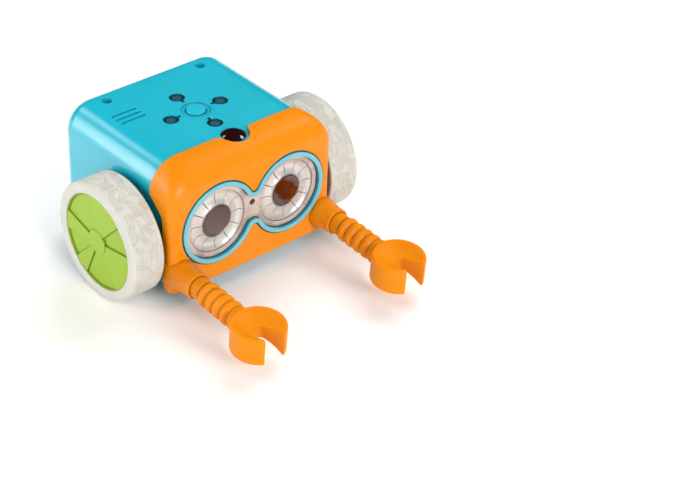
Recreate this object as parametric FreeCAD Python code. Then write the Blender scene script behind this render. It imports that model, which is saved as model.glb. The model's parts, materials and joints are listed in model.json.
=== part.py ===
"""Educational coding robot: a two-wheeled toy robot with a clip-on face and plug-in claw arms.

Working frame while modelling (millimetres): X across the robot, the face looks along -Y,
Z is up, the ground is z = 0 and the wheel axis is at y = 0.  Every finished piece is moved
by ORIGIN_SHIFT, which puts the origin under the centre of the whole robot's box.
"""
import FreeCAD, Part
import math
import os

from FreeCAD import Vector

# --- driving dimensions -----------------------------------------------------------------

WHEEL_RADIUS = 32.0
TYRE_INNER_X = 54.8
TYRE_OUTER_X = 73.2
TYRE_SIDE_BORE = 26.1
HUB_RIM_RADIUS = 27.9

CASE_HALF_WIDTH = 50.5
CASE_FRONT_Y = -32.9
CASE_REAR_Y = 60.0
CASE_TOP_Z = 75.8
CASE_BOTTOM_Z = 5.0
CASE_SPLIT_Z = 14.0
CASE_TOP_CORNER = 15.0
CASE_BOTTOM_CORNER = 9.0
CASE_END_ROUND = 7.5
CASE_FRONT_TOP_ROUND = 12.0
WALL = 2.0

HEAD_WALL_SIDE = 1.3
HEAD_GAP = 0.2
HEAD_FRONT_Y = -34.5
HEAD_SEAM_Y = -16.5
HEAD_SKIRT_Y = -26.5
HEAD_BOTTOM_Z = 9.1
HEAD_TOP_ROUND = 14.5
HEAD_SIDE_ROUND = 5.2

EYE_X = 22.5
EYE_Z = 41.1
BEZEL_RADIUS = 22.8
BEZEL_WIDTH = 2.5
BEZEL_PROUD = 2.5
WAIST_ROUND = 2.8
DISH_RADIUS = 17.5
PUPIL_RADIUS = 8.65
LENS_Y = -33.6
DISH_RIB_COUNT = 12

DOME_Y = -17.4
DOME_RADIUS = 6.5
DOME_RISE = 2.4
NOTCH_RADIUS = 8.4

BUTTON_Y = 13.2
BUTTON_RADIUS = 5.2
BUTTON_TRAVEL = 1.2
WINDOW_PITCH = 15.8
WINDOW_RADIUS = 4.1

ACCESSORY_X = 30.2
ACCESSORY_Y = 48.3
ACCESSORY_RADIUS = 2.8
ACCESSORY_DEPTH = 7.0

ARM_X = 45.8
SOCKET_Y = -47.3
SOCKET_Z = 19.4
SOCKET_DEPTH = 11.0
ARM_DROOP_DEG = 3.0
ARM_NECK_RADIUS = 5.7
ARM_RIB_RADIUS = 6.75
ARM_VALLEY_RADIUS = 5.3
ARM_RIB_PITCH = 5.8
ARM_RIB_COUNT = 5
CLAW_CENTRE_Y = -93.9
CLAW_RADIUS = 14.0
CLAW_THICKNESS = 15.0
CLAW_SLOT_HALF = 6.5
CLAW_DISH_DEPTH = 4.0
CLAW_DISH_RADIUS = 12.4

GEAR_MODULE = 0.6
PINION_TEETH = 10
WHEEL_TEETH = 40
GEAR_SPACING = GEAR_MODULE * (PINION_TEETH + WHEEL_TEETH) / 2
AXLE_RADIUS = 1.5
SHAFT_RADIUS = 1.0
RUNNING_GAP = 0.05

CELL_RADIUS = 5.25
CELL_LENGTH = 44.5
CELL_PITCH = 11.0
CELL_FIRST_Y = 10.0
CELL_Z = 13.0

CASTER_Y = 50.5
CASTER_RADIUS = 5.0

# --- derived places ---------------------------------------------------------------------

AXLE_Z = WHEEL_RADIUS
IDLER_Y = GEAR_SPACING
MOTOR_Y = 2 * GEAR_SPACING
CASE_INNER_TOP = CASE_TOP_Z - WALL
CASE_FLOOR_Z = CASE_BOTTOM_Z + WALL
CLAW_TIP_Y = CLAW_CENTRE_Y - CLAW_RADIUS

X_AXIS = Vector(1, 0, 0)
Y_AXIS = Vector(0, 1, 0)
Z_AXIS = Vector(0, 0, 1)
MIRROR_PLANE_POINT = Vector(0, 0, 0)


# --- small geometry helpers -------------------------------------------------------------

def box(x_range, y_range, z_range):
    """A block between two values on each axis."""
    low = Vector(x_range[0], y_range[0], z_range[0])
    return Part.makeBox(x_range[1] - x_range[0], y_range[1] - y_range[0], z_range[1] - z_range[0], low)


def cylinder(radius, length, base, direction=Z_AXIS):
    """A cylinder that starts at base and runs along direction."""
    return Part.makeCylinder(radius, length, Vector(*base), direction)


def fuse(first, *others):
    """One clean solid from several touching ones."""
    return first.fuse(list(others)).removeSplitter()


def mirrored(shape):
    """The same piece on the robot's other side."""
    return shape.mirror(MIRROR_PLANE_POINT, X_AXIS)


def rectangle(a_range, b_range):
    """The four corners of a rectangle, in order."""
    a_low, a_high = a_range
    b_low, b_high = b_range
    return [(a_low, b_low), (a_high, b_low), (a_high, b_high), (a_low, b_high)]


def rounded_outline(corners, radii, place):
    """A closed face from 2-D corners with one radius each; place maps (a, b) to a Vector."""
    count = len(corners)
    starts, ends, edges = [], [], []
    for index, (corner, radius) in enumerate(zip(corners, radii)):
        here = Vector(corner[0], corner[1], 0)
        before = Vector(*corners[index - 1], 0) - here
        after = Vector(*corners[(index + 1) % count], 0) - here
        before.normalize()
        after.normalize()
        half_angle = before.getAngle(after) / 2
        reach = radius / math.tan(half_angle)
        starts.append(here + before * reach)
        ends.append(here + after * reach)
        if radius:
            inward = before + after
            inward.normalize()
            middle = here + inward * (radius / math.sin(half_angle) - radius)
            points = [place(point.x, point.y) for point in (starts[-1], middle, ends[-1])]
            edges.append(Part.Arc(*points).toShape())
    for index in range(count):
        first, second = ends[index], starts[(index + 1) % count]
        if first.distanceToPoint(second) > 1e-6:
            edges.append(Part.LineSegment(place(first.x, first.y), place(second.x, second.y)).toShape())
    return Part.Face(Part.Wire(Part.__sortEdges__(edges)))


def revolved(profile, origin, axis):
    """Turn a closed (distance along axis, radius) outline about an axis through origin."""
    across = Z_AXIS if abs(axis.z) < 0.5 else X_AXIS
    points = [Vector(*origin) + axis * along + across * radius for along, radius in profile]
    face = Part.Face(Part.makePolygon(points + points[:1]))
    return face.revolve(Vector(*origin), axis, 360)


def end_rounded(block, face_y, radius_at):
    """Round the edges of a block's end face at face_y; radius_at(point) gives the radius there."""
    document = FreeCAD.newDocument()
    base = document.addObject("Part::Feature", "base")
    base.Shape = block
    rounding = document.addObject("Part::Fillet", "rounding")
    rounding.Base = base
    chosen = []
    for number, edge in enumerate(block.Edges, 1):
        extent = edge.BoundBox
        if max(abs(extent.YMin - face_y), abs(extent.YMax - face_y)) < 1e-6:
            first = edge.valueAt(edge.FirstParameter)
            last = edge.valueAt(edge.LastParameter)
            chosen.append((number, radius_at(first), radius_at(last)))
    rounding.Edges = chosen
    document.recompute()
    result = rounding.Shape.copy()
    FreeCAD.closeDocument(document.Name)
    return result


# --- eye outline ------------------------------------------------------------------------

def figure_eight(offset, y_front, y_back):
    """A prism of two joined circles; offset grows (+) or shrinks (-) the bezel's outer outline."""
    radius = BEZEL_RADIUS + offset
    fillet = WAIST_ROUND - offset
    waist_height = math.sqrt((BEZEL_RADIUS + WAIST_ROUND) ** 2 - EYE_X ** 2)
    tilt = math.atan2(waist_height, EYE_X)

    def at(x, z):
        return Vector(x, y_front, EYE_Z + z)

    def on_circle(side, angle):
        return at(side * (EYE_X + radius * math.cos(angle)), radius * math.sin(angle))

    edges = []
    for side in (-1, 1):
        upper = on_circle(side, math.pi - tilt)
        lower = on_circle(side, math.pi + tilt)
        edges.append(Part.Arc(upper, on_circle(side, 0), lower).toShape())
    for up in (-1, 1):
        left = on_circle(-1, math.pi - up * tilt)
        right = on_circle(1, math.pi - up * tilt)
        edges.append(Part.Arc(left, at(0, up * (waist_height - fillet)), right).toShape())
    face = Part.Face(Part.Wire(Part.__sortEdges__(edges)))
    return face.extrude(Vector(0, y_back - y_front, 0))


# --- gears ------------------------------------------------------------------------------

def involute(angle):
    return math.tan(angle) - angle


def spur_gear(teeth, x_start, width, centre_y, phase, bore):
    """A spur gear about an axis along X; one tooth points at angle phase from +Y towards +Z."""
    pressure = math.radians(20)
    backlash = 0.18
    tip_height = 0.55 * GEAR_MODULE
    root_depth = 0.95 * GEAR_MODULE
    pitch_r = GEAR_MODULE * teeth / 2
    base_r = pitch_r * math.cos(pressure)
    root_r = pitch_r - root_depth
    tip_r = pitch_r + tip_height
    half_tooth = math.pi / (2 * teeth) - backlash / (2 * pitch_r)
    start_r = max(base_r, root_r)
    flank_steps = 5
    flank = [(root_r, half_tooth + involute(pressure))] if start_r > root_r else []
    for step in range(flank_steps + 1):
        radius = start_r + (tip_r - start_r) * step / flank_steps
        slope = math.acos(min(1.0, base_r / radius))
        flank.append((radius, half_tooth + involute(pressure) - involute(slope)))
    points = []
    for tooth in range(teeth):
        middle = phase + 2 * math.pi * tooth / teeth
        for radius, spread in flank:
            points.append((radius, middle - spread))
        for radius, spread in reversed(flank):
            points.append((radius, middle + spread))
    outline = [Vector(x_start, centre_y + r * math.cos(a), AXLE_Z + r * math.sin(a)) for r, a in points]
    gear = Part.Face(Part.makePolygon(outline + outline[:1])).extrude(X_AXIS * width)
    return gear.cut(cylinder(bore, width, (x_start, centre_y, AXLE_Z), X_AXIS))


# --- casing -----------------------------------------------------------------------------

def casing_block(inset):
    """The casing's outer form, shrunk by inset on every side."""
    half = CASE_HALF_WIDTH - inset
    low, high = CASE_BOTTOM_Z + inset, CASE_TOP_Z - inset
    top_r, bottom_r = CASE_TOP_CORNER - inset, CASE_BOTTOM_CORNER - inset
    front, rear = CASE_FRONT_Y + inset, CASE_REAR_Y - inset
    corners = [(half, low), (half, high), (-half, high), (-half, low)]
    radii = [bottom_r, top_r, top_r, bottom_r]
    outline = rounded_outline(corners, radii, lambda x, z: Vector(x, front, z))
    block = outline.extrude(Vector(0, rear - front, 0))
    end_radius = CASE_END_ROUND - inset
    brow_radius = CASE_FRONT_TOP_ROUND - inset
    block = end_rounded(block, rear, lambda point: end_radius)
    return end_rounded(block, front, lambda point: brow_radius if point.z > high - 0.5 else end_radius)


def window_prism(angle_deg, clearance, z_range):
    """A round window beside the button with a small tab that points at the button."""
    angle = math.radians(angle_deg)
    low, high = z_range
    centre_x = WINDOW_PITCH * math.cos(angle)
    centre_y = BUTTON_Y + WINDOW_PITCH * math.sin(angle)
    disc = cylinder(WINDOW_RADIUS + clearance, high - low, (centre_x, centre_y, low))
    tab_half = 0.8 + clearance
    tab_end = WINDOW_RADIUS + 1.9 + clearance
    tab = box((-tab_end, 0), (-tab_half, tab_half), (low, high))
    tab.rotate(Vector(0, 0, 0), Z_AXIS, angle_deg)
    tab.translate(Vector(centre_x, centre_y, 0))
    return fuse(disc, tab)


WINDOW_ANGLES = {"front": 270, "back": 90, "left": 180, "right": 0}
CASE_SCREW_PLACES = [(x, y) for x in (-40.0, 40.0) for y in (-24.0, 50.0)]
BOARD_POST_PLACES = [(-30.0, -3.0), (30.0, -3.0), (-13.0, 39.0), (30.0, 39.0)]
SCREW_POST_RADIUS = 3.4
SCREW_POST_HEIGHT = 24.0
CASE_SCREW_Z = CASE_BOTTOM_Z + 1.9
CASE_SCREW_HEAD = 1.6
BOARD_TOP_Z = 62.6
SPEAKER_X = -30.4
SPEAKER_Y = 29.3
SPEAKER_SLOT_LENGTH = 15.2
SPEAKER_SLOT_WIDTH = 1.4
SPEAKER_SLOT_PITCH = 4.0


def casing_shell():
    return casing_block(0).cut(casing_block(WALL))


def upper_casing(shell):
    """Top, sides and front: everything above the split line, with its openings and posts."""
    upper = shell.common(box((-80, 80), (-60, 80), (CASE_SPLIT_Z, 90)))
    above = (CASE_INNER_TOP - 1, CASE_TOP_Z + 5)
    posts = []
    for x, y in BOARD_POST_PLACES:
        posts.append(cylinder(2.6, CASE_INNER_TOP + 0.5 - BOARD_TOP_Z, (x, y, BOARD_TOP_Z)))
    for side in (-1, 1):
        pocket_base = CASE_TOP_Z - ACCESSORY_DEPTH - 1.5
        posts.append(cylinder(ACCESSORY_RADIUS + 1.6, CASE_INNER_TOP + 0.5 - pocket_base,
                              (side * ACCESSORY_X, ACCESSORY_Y, pocket_base)))
    wall_x = CASE_HALF_WIDTH - WALL / 2
    for x, y in CASE_SCREW_PLACES:
        posts.append(cylinder(SCREW_POST_RADIUS, SCREW_POST_HEIGHT, (x, y, CASE_SPLIT_Z)))
        rib_x = sorted((x, math.copysign(wall_x, x)))
        posts.append(box(rib_x, (y - 0.8, y + 0.8), (CASE_SPLIT_Z, CASE_SPLIT_Z + SCREW_POST_HEIGHT)))
    upper = fuse(upper, *posts)

    cuts = [figure_eight(0.1, CASE_FRONT_Y - 2, CASE_FRONT_Y + WALL + 0.5)]
    cuts.append(cylinder(BUTTON_RADIUS + 0.35, 6, (0, BUTTON_Y, above[0])))
    cuts.append(cylinder(BUTTON_RADIUS + 2.6, 1, (0, BUTTON_Y, CASE_TOP_Z - 0.5)))
    cuts.append(cylinder(DOME_RADIUS + 0.1, 6, (0, DOME_Y, above[0])))
    cuts += [window_prism(angle, 0.1, above) for angle in WINDOW_ANGLES.values()]
    slot_x = (SPEAKER_X - SPEAKER_SLOT_LENGTH / 2, SPEAKER_X + SPEAKER_SLOT_LENGTH / 2)
    slot_half = SPEAKER_SLOT_WIDTH / 2
    for step in (-1, 0, 1):
        y = SPEAKER_Y + step * SPEAKER_SLOT_PITCH
        corners = rectangle(slot_x, (y - slot_half, y + slot_half))
        slot = rounded_outline(corners, [slot_half - 0.01] * 4, lambda a, b: Vector(a, b, above[0]))
        cuts.append(slot.extrude(Z_AXIS * 8))
    for side in (-1, 1):
        cuts.append(cylinder(ACCESSORY_RADIUS, ACCESSORY_DEPTH + 1,
                             (side * ACCESSORY_X, ACCESSORY_Y, CASE_TOP_Z - ACCESSORY_DEPTH)))
        cuts.append(cylinder(3.2, 6, (side * CASE_HALF_WIDTH - 3, 0, AXLE_Z), X_AXIS))
    for x, y in CASE_SCREW_PLACES:
        cuts.append(cylinder(1.2, 12, (x, y, CASE_SPLIT_Z - 1)))
    for x, y in BOARD_POST_PLACES:
        cuts.append(cylinder(1.0, 6, (x, y, BOARD_TOP_Z)))
    return upper.cut(cuts)


CELL_YS = [CELL_FIRST_Y + CELL_PITCH * number for number in range(3)]
BAY_X = 27.0
BAY_Y = (CELL_YS[0] - 6.5, CELL_YS[-1] + 6.5)
BAY_TOP = 19.4
DOOR_END_Y = BAY_Y[1] + 5.4
DOOR_SCREW_Y = BAY_Y[1] + 2.6
SWITCH_Y = -9.0
SWITCH_REST_X = -4.0
SWITCH_TRAVEL = 8.0
KNOB_HALF = 2.2
SENSOR_Y = -20.0


def lower_casing(shell):
    """The floor tray with the battery bay, the caster cup and the switch and sensor openings."""
    lower = shell.common(box((-80, 80), (-60, 80), (0, CASE_SPLIT_Z)))
    inner_low = CASE_FLOOR_Z - 0.5
    bay_wall = 1.2
    bay = box((-BAY_X - bay_wall, BAY_X + bay_wall), (BAY_Y[0] - bay_wall, BAY_Y[1] + bay_wall),
              (inner_low, BAY_TOP + bay_wall))
    additions = [bay]
    additions.append(cylinder(3.4, 9, (0, DOOR_SCREW_Y + 0.2, inner_low)))
    additions.append(cylinder(CASTER_RADIUS + 1.8, 8.0, (0, CASTER_Y, CASE_BOTTOM_Z)))
    for x, y in CASE_SCREW_PLACES:
        additions.append(cylinder(SCREW_POST_RADIUS, CASE_SPLIT_Z - inner_low, (x, y, inner_low)))
    for side in (-1, 1):
        for y in (-16.0, 38.0):
            cradle_x = sorted((side * 36.0, side * 47.0))
            additions.append(box(cradle_x, (y, y + 4), (inner_low + 1.5, PLATE_Z[0])))
    lower = fuse(lower, *additions).common(
        fuse(casing_block(0), box((-40, 40), (-20, 50), (CASE_FLOOR_Z, 40)),
             box((-47.2, 47.2), (-20, 50), (CASE_SPLIT_Z - 1, 30))))

    cuts = [box((-BAY_X, BAY_X), BAY_Y, (0, BAY_TOP))]
    cuts.append(box((-BAY_X, BAY_X), (BAY_Y[0], DOOR_END_Y), (0, CASE_FLOOR_Z)))
    cuts.append(cylinder(1.1, 7, (0, DOOR_SCREW_Y, CASE_FLOOR_Z - 0.1)))
    cuts.append(Part.makeSphere(CASTER_RADIUS + 0.06, Vector(0, CASTER_Y, CASTER_RADIUS)))
    cuts.append(box((SWITCH_REST_X - KNOB_HALF - 0.3, SWITCH_REST_X + SWITCH_TRAVEL + KNOB_HALF + 0.3),
                    (SWITCH_Y - 1.8, SWITCH_Y + 1.8), (0, CASE_FLOOR_Z + 1)))
    cuts.append(box((-6.1, 6.1), (SENSOR_Y - 3.6, SENSOR_Y + 3.6), (0, CASE_FLOOR_Z + 1)))
    for x, y in CASE_SCREW_PLACES:
        cuts.append(cylinder(1.4, 20, (x, y, 0)))
        cuts.append(cylinder(2.7, CASE_SCREW_Z + CASE_SCREW_HEAD, (x, y, 0)))
    return lower.cut(cuts)


# --- face: bezel, lens, eyes, sensor and dome -------------------------------------------

def eye_bezel():
    """The raised figure-of-eight rim, with a flange behind the casing's front wall."""
    wall_back = CASE_FRONT_Y + WALL
    front = CASE_FRONT_Y - BEZEL_PROUD
    hollow = figure_eight(-BEZEL_WIDTH, front - 1, wall_back + 3)
    rim = figure_eight(0, front, wall_back).cut(hollow)
    rim = rim.makeFillet(0.45, [edge for edge in rim.Edges if edge.BoundBox.YMax < front + 0.1])
    flange = figure_eight(1.0, wall_back, wall_back + 1.4).common(casing_block(WALL))
    ledge = figure_eight(-BEZEL_WIDTH + 0.2, LENS_Y + LENS_THICKNESS + FRAME_THICKNESS, wall_back + 1.4)
    ledge = ledge.cut(figure_eight(-BEZEL_WIDTH - 1.0, LENS_Y, wall_back + 3))
    return fuse(rim, flange.cut(hollow), ledge)


LENS_THICKNESS = 0.8
FRAME_THICKNESS = 0.8
NOSE_Z = EYE_Z + 2.4


def eye_lens():
    """The clear cover over both eyes."""
    return figure_eight(-BEZEL_WIDTH - 0.15, LENS_Y, LENS_Y + LENS_THICKNESS)


def eye_frame():
    """The milky plate behind the lens, with two round openings and the sensor hole."""
    front = LENS_Y + LENS_THICKNESS
    plate = figure_eight(-BEZEL_WIDTH - 0.15, front, front + FRAME_THICKNESS)
    holes = [cylinder(DISH_RADIUS, 4, (side * EYE_X, front - 1, EYE_Z), Y_AXIS) for side in (-1, 1)]
    holes.append(cylinder(1.75, 4, (0, front - 1, NOSE_Z), Y_AXIS))
    return plate.cut(holes)


def reflector():
    """A shallow ribbed bowl around the pupil, on the robot's right-hand side of the face."""
    rim_y = LENS_Y + LENS_THICKNESS
    outer_r, hole_r = DISH_RADIUS - 0.1, PUPIL_RADIUS + 0.1
    profile = [(0.1, outer_r), (1.5, 16.2), (2.2, 14.2), (1.9, 11.8), (0.9, 9.6), (0.25, 9.0),
               (0.25, hole_r), (3.6, hole_r), (3.6, 14.0), (2.6, 16.4), (0.9, outer_r)]
    dish = revolved(profile, (EYE_X, rim_y, EYE_Z), Y_AXIS)
    ribs = []
    for number in range(DISH_RIB_COUNT):
        rib = box((9.6, 16.0), (rim_y + 1.5, rim_y + 2.9), (-0.2, 0.2))
        rib.rotate(Vector(0, 0, 0), Y_AXIS, 360.0 * (number + 0.5) / DISH_RIB_COUNT)
        rib.translate(Vector(EYE_X, 0, EYE_Z))
        ribs.append(rib)
    return fuse(dish, *ribs)


def pupil():
    """The dark window in the middle of the eye, with a flange behind the reflector."""
    front = LENS_Y + LENS_THICKNESS + 0.1
    profile = [(0, 0), (0.1, 5.5), (0.25, 8.2), (0.5, PUPIL_RADIUS), (3.6, PUPIL_RADIUS), (3.6, 10.2),
               (4.6, 10.2), (4.6, 0)]
    return revolved(profile, (EYE_X, front, EYE_Z), Y_AXIS)


def signal_dome():
    """The dark receiver dome on top: a low cap on a stem with a flange under the top wall."""
    sphere_r = (DOME_RADIUS ** 2 + DOME_RISE ** 2) / (2 * DOME_RISE)
    centre_z = CASE_TOP_Z + DOME_RISE - sphere_r
    cap = Part.makeSphere(sphere_r, Vector(0, DOME_Y, centre_z))
    cap = cap.common(cylinder(DOME_RADIUS, DOME_RISE + 1, (0, DOME_Y, CASE_TOP_Z)))
    stem_low = CASE_INNER_TOP - 2.8
    stem = cylinder(DOME_RADIUS, CASE_TOP_Z - stem_low, (0, DOME_Y, stem_low))
    flange = cylinder(DOME_RADIUS + 0.9, 1.3, (0, DOME_Y, stem_low))
    return fuse(cap, stem, flange)


def indicator(angle_deg):
    """A dark window, its face a little below the casing's top, on a round light guide."""
    window = window_prism(angle_deg, 0, (CASE_INNER_TOP - 0.6, CASE_TOP_Z - 0.45))
    angle = math.radians(angle_deg)
    guide_base = (WINDOW_PITCH * math.cos(angle), BUTTON_Y + WINDOW_PITCH * math.sin(angle), 66.0)
    return fuse(window, cylinder(2.6, CASE_INNER_TOP - 0.5 - 66.0, guide_base))


# --- electronics ------------------------------------------------------------------------

def main_board():
    board = box((-35, 35), (-7, 43), (BOARD_TOP_Z - 1.6, BOARD_TOP_Z))
    holes = [cylinder(1.1, 4, (x, y, BOARD_TOP_Z - 3)) for x, y in BOARD_POST_PLACES]
    return board.cut(holes)


def indicator_leds():
    leds = []
    for angle_deg in WINDOW_ANGLES.values():
        angle = math.radians(angle_deg)
        x, y = WINDOW_PITCH * math.cos(angle), BUTTON_Y + WINDOW_PITCH * math.sin(angle)
        leds.append(box((x - 1.6, x + 1.6), (y - 1.6, y + 1.6), (BOARD_TOP_Z, BOARD_TOP_Z + 2.0)))
    return leds


def go_switch():
    body = box((-3, 3), (BUTTON_Y - 3, BUTTON_Y + 3), (BOARD_TOP_Z, BOARD_TOP_Z + 2.6))
    return fuse(body, cylinder(1.6, 0.6, (0, BUTTON_Y, BOARD_TOP_Z + 2.6)))


def go_button():
    """The round cap that stands just proud of the top, with a stem down to its switch."""
    cap_low, cap_high = CASE_INNER_TOP + 0.2, CASE_TOP_Z + 0.9
    cap = cylinder(BUTTON_RADIUS, cap_high - cap_low, (0, BUTTON_Y, cap_low))
    rim = [edge for edge in cap.Edges if edge.BoundBox.ZMin > cap_high - 0.01]
    cap = cap.makeFillet(0.8, rim)
    skirt_low = CASE_INNER_TOP - 2.4
    skirt = cylinder(BUTTON_RADIUS + 1.3, 1.2, (0, BUTTON_Y, skirt_low))
    neck = cylinder(BUTTON_RADIUS, cap_low - skirt_low, (0, BUTTON_Y, skirt_low))
    stem_low = BOARD_TOP_Z + 3.2 + BUTTON_TRAVEL + 0.15
    stem = cylinder(1.7, skirt_low - stem_low, (0, BUTTON_Y, stem_low))
    return fuse(cap, neck, skirt, stem)


def speaker():
    """A small round driver under the three slots: frame, cone and magnet in one outline."""
    top = 71.4
    profile = [(0, 0), (0, 11.0), (-1.4, 11.0), (-3.6, 7.0), (-3.6, 6.0), (-7.0, 6.0), (-7.0, 0)]
    return revolved(profile, (SPEAKER_X, SPEAKER_Y, top), Z_AXIS)


FRONT_BOARD_Y = -25.0


def front_board():
    """The board behind the eyes; it carries the eye lights and the dome's receiver."""
    low = box((-34, 34), (FRONT_BOARD_Y, FRONT_BOARD_Y + 1.6), (30, 56))
    neck = box((-7, 7), (FRONT_BOARD_Y, FRONT_BOARD_Y + 1.6), (56, 66))
    return fuse(low, neck)


def eye_leds():
    lights = []
    for side in (-1, 1):
        base = cylinder(2.5, 1.6, (side * EYE_X, FRONT_BOARD_Y, EYE_Z), -Y_AXIS)
        lights.append(base)
    return lights


def object_sensor():
    """The sensor that looks out through the small hole between the eyes."""
    back = LENS_Y + LENS_THICKNESS + FRAME_THICKNESS
    tube = cylinder(1.6, 6.0, (0, back - FRAME_THICKNESS + 0.2, NOSE_Z), Y_AXIS)
    body = cylinder(2.4, FRONT_BOARD_Y - back - 1.0, (0, back + 1.0, NOSE_Z), Y_AXIS)
    return fuse(tube, body)


def line_sensor():
    """The downward-looking sensor block at the front of the floor."""
    block = box((-6, 6), (SENSOR_Y - 3.5, SENSOR_Y + 3.5), (CASE_BOTTOM_Z - 0.6, CASE_FLOOR_Z + 4))
    pits = [cylinder(1.5, 1.2, (x, SENSOR_Y, CASE_BOTTOM_Z - 0.61)) for x in (-2.8, 2.8)]
    return block.cut(pits)


def mode_switch_body():
    return box((-9, 9), (SWITCH_Y - 3, SWITCH_Y + 3), (CASE_FLOOR_Z + 1.6, CASE_FLOOR_Z + 5.6))


def power_slider():
    """The ridged knob of the three-position switch, which slides along X."""
    knob = box((SWITCH_REST_X - KNOB_HALF, SWITCH_REST_X + KNOB_HALF), (SWITCH_Y - 1.5, SWITCH_Y + 1.5),
               (CASE_BOTTOM_Z - 1.2, CASE_FLOOR_Z + 1.3))
    grooves = []
    for step in (-1, 0, 1):
        x = SWITCH_REST_X + 1.2 * step
        grooves.append(box((x - 0.2, x + 0.2), (SWITCH_Y - 2, SWITCH_Y + 2), (0, CASE_BOTTOM_Z - 0.8)))
    return knob.cut(grooves)


# --- batteries --------------------------------------------------------------------------

def battery_cells():
    cells = []
    for number, y in enumerate(CELL_YS):
        nub_side = 1 if number % 2 == 0 else -1
        half = CELL_LENGTH / 2 - 0.5
        cell = cylinder(CELL_RADIUS, 2 * half, (-half, y, CELL_Z), X_AXIS)
        nub = cylinder(1.9, 1.0, (nub_side * half, y, CELL_Z), X_AXIS * nub_side)
        cells.append(fuse(cell, nub))
    return cells


def battery_contacts():
    """Spring side and flat side plates at both ends of every cell."""
    contacts = []
    half = CELL_LENGTH / 2
    plate = 0.4
    for number, y in enumerate(CELL_YS):
        nub_side = 1 if number % 2 == 0 else -1
        for side in (-1, 1):
            inner = BAY_X - plate
            span = sorted((side * inner, side * BAY_X))
            pad = box(span, (y - 4, y + 4), (CELL_Z - 4, CELL_Z + 4))
            is_spring = side != nub_side
            reach = inner - half + (0.5 if is_spring else -0.5)
            radius = 2.6 if is_spring else 1.6
            bump = cylinder(radius, reach, (side * inner, y, CELL_Z), X_AXIS * -side)
            contacts.append(fuse(pad, bump))
    return contacts


def battery_door():
    """The bay's cover, flush with the floor, with a tab for its screw."""
    gap = 0.25
    door = box((-BAY_X + gap, BAY_X - gap), (BAY_Y[0] + gap, DOOR_END_Y - gap),
               (CASE_BOTTOM_Z, CASE_FLOOR_Z - 0.05))
    cuts = [cylinder(1.3, 4, (0, DOOR_SCREW_Y, CASE_BOTTOM_Z - 1)),
            cylinder(2.4, 1.2, (0, DOOR_SCREW_Y, CASE_BOTTOM_Z - 0.01))]
    for step in range(-2, 3):
        x = 4.0 * step
        cuts.append(box((x - 0.6, x + 0.6), (BAY_Y[0] + 3, BAY_Y[0] + 9), (0, CASE_BOTTOM_Z + 0.5)))
    return door.cut(cuts)


BOARD_SCREW_Z = BOARD_TOP_Z - 2.8


def screw(head_radius, head_height, shank_radius, length, place):
    """A cross-head screw that points up from its head."""
    x, y, z = place
    head = cylinder(head_radius, head_height, (x, y, z))
    shank = cylinder(shank_radius, length, (x, y, z + head_height))
    recess = [box((x - 1.3, x + 1.3), (y - 0.3, y + 0.3), (z - 0.1, z + 0.6)),
              box((x - 0.3, x + 0.3), (y - 1.3, y + 1.3), (z - 0.1, z + 0.6))]
    return fuse(head, shank).cut(recess)


# --- drive ------------------------------------------------------------------------------

PLATE_Y = (-17.0, 43.0)
PLATE_Z = (16.5, 47.5)
INNER_PLATE_X = (36.0, 37.5)
OUTER_PLATE_X = (45.5, 47.0)
GEAR_POST_PLACES = [(-14.0, 20.0), (-14.0, 44.0), (40.0, 20.0), (40.0, 44.0)]
MOTOR_LENGTH = 25.0
MOTOR_RADIUS = 10.0
MOTOR_HALF_FLAT = 7.5


def gear_plate(x_range):
    """One side plate of a gearbox, with rounded corners."""
    outline = rounded_outline(rectangle(PLATE_Y, PLATE_Z), [3.0] * 4, lambda y, z: Vector(x_range[0], y, z))
    return outline.extrude(X_AXIS * (x_range[1] - x_range[0]))


def gearbox_inner():
    """The motor side of the gearbox, with four posts that carry the outer plate."""
    width = OUTER_PLATE_X[0] - INNER_PLATE_X[1]
    posts = [cylinder(2.2, width, (INNER_PLATE_X[1], y, z), X_AXIS) for y, z in GEAR_POST_PLACES]
    plate = fuse(gear_plate(INNER_PLATE_X), *posts)
    start = INNER_PLATE_X[0] - 1
    holes = [cylinder(AXLE_RADIUS + RUNNING_GAP, 4, (start, 0, AXLE_Z), X_AXIS),
             cylinder(SHAFT_RADIUS, 4, (start, IDLER_Y, AXLE_Z), X_AXIS),
             cylinder(3.1, 4, (start, MOTOR_Y, AXLE_Z), X_AXIS)]
    return plate.cut(holes)


def gearbox_outer():
    """The wheel side of the gearbox."""
    start = OUTER_PLATE_X[0] - 1
    holes = [cylinder(AXLE_RADIUS + RUNNING_GAP, 4, (start, 0, AXLE_Z), X_AXIS),
             cylinder(SHAFT_RADIUS, 4, (start, IDLER_Y, AXLE_Z), X_AXIS)]
    return gear_plate(OUTER_PLATE_X).cut(holes)


def motor():
    """A flat-sided motor can with its bearing nose through the inner plate."""
    back = INNER_PLATE_X[0] - MOTOR_LENGTH
    can = cylinder(MOTOR_RADIUS, MOTOR_LENGTH, (back, MOTOR_Y, AXLE_Z), X_AXIS)
    can = can.common(box((back, back + MOTOR_LENGTH), (MOTOR_Y - 12, MOTOR_Y + 12),
                         (AXLE_Z - MOTOR_HALF_FLAT, AXLE_Z + MOTOR_HALF_FLAT)))
    nose = cylinder(3.0, 1.5, (INNER_PLATE_X[0], MOTOR_Y, AXLE_Z), X_AXIS)
    tabs = []
    for tab_z in (AXLE_Z - 5, AXLE_Z + 5):
        tabs.append(box((back - 3.0, back), (MOTOR_Y - 0.25, MOTOR_Y + 0.25), (tab_z - 1, tab_z + 1)))
    bore = cylinder(SHAFT_RADIUS + RUNNING_GAP, 16, (INNER_PLATE_X[0] - 13.0, MOTOR_Y, AXLE_Z), X_AXIS)
    return fuse(can, nose, *tabs).cut(bore)


DRIVE_GEAR_X = 42.0
IDLER_BIG_X = 38.2
GEAR_WIDTH = 2.8


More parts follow.
